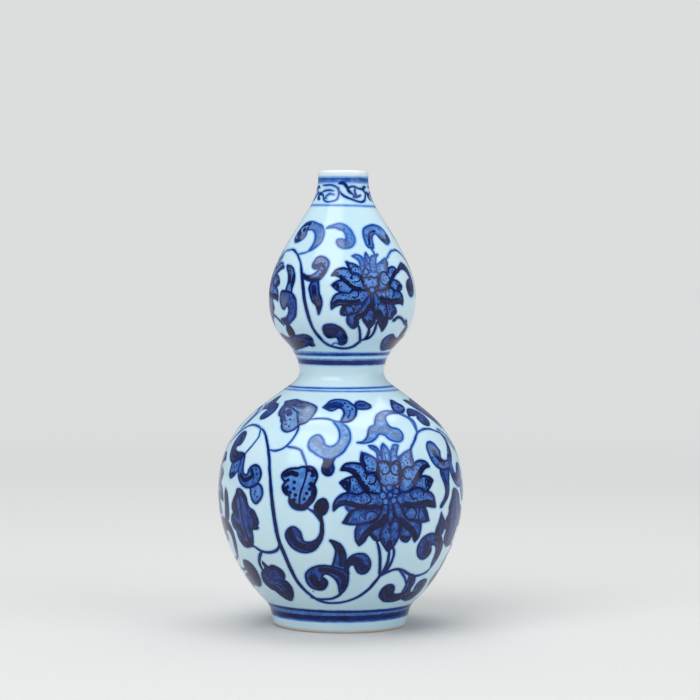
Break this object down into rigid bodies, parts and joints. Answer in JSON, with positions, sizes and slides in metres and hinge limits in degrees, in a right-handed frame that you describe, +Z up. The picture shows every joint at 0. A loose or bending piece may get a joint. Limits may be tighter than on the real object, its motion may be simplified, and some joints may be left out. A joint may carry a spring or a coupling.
{
  "type": "double gourd vase",
  "caption": "Hollow porcelain double gourd vase with a round lower bulb, a narrow waist, a smaller upper bulb, a short neck and a turned foot ring, painted in blue under a clear glaze.",
  "frame": {"origin": "middle of the foot ring, on the surface the vase stands on", "axes": "+Z up along the axis of the vase; the picture looks along +Y with +X to the right"},
  "size_m": [0.1082, 0.1082, 0.2],
  "materials": {
    "biscuit": "bare fired porcelain, fine and matt, slightly brown at the rim of the foot",
    "slip": "fired porcelain slip, matt",
    "painted_glaze": "glossy pale blue-white glaze over cobalt blue painting",
    "clear_glaze": "glossy pale blue-white glaze, unpainted"
  },
  "bodies": {
    "root": {"foot_ring": "biscuit", "lower_bulb_base": "biscuit", "lower_bulb_shoulder": "biscuit", "upper_bulb_base": "biscuit", "upper_bulb_shoulder": "biscuit", "mouth_collar": "biscuit", "foot_slip": "slip", "belly_slip": "slip", "waist_slip": "slip", "upper_belly_slip": "slip", "neck_slip": "slip", "outer_glaze": "painted_glaze", "inner_glaze": "clear_glaze", "base_glaze": "clear_glaze"}
  },
  "joints": []
}
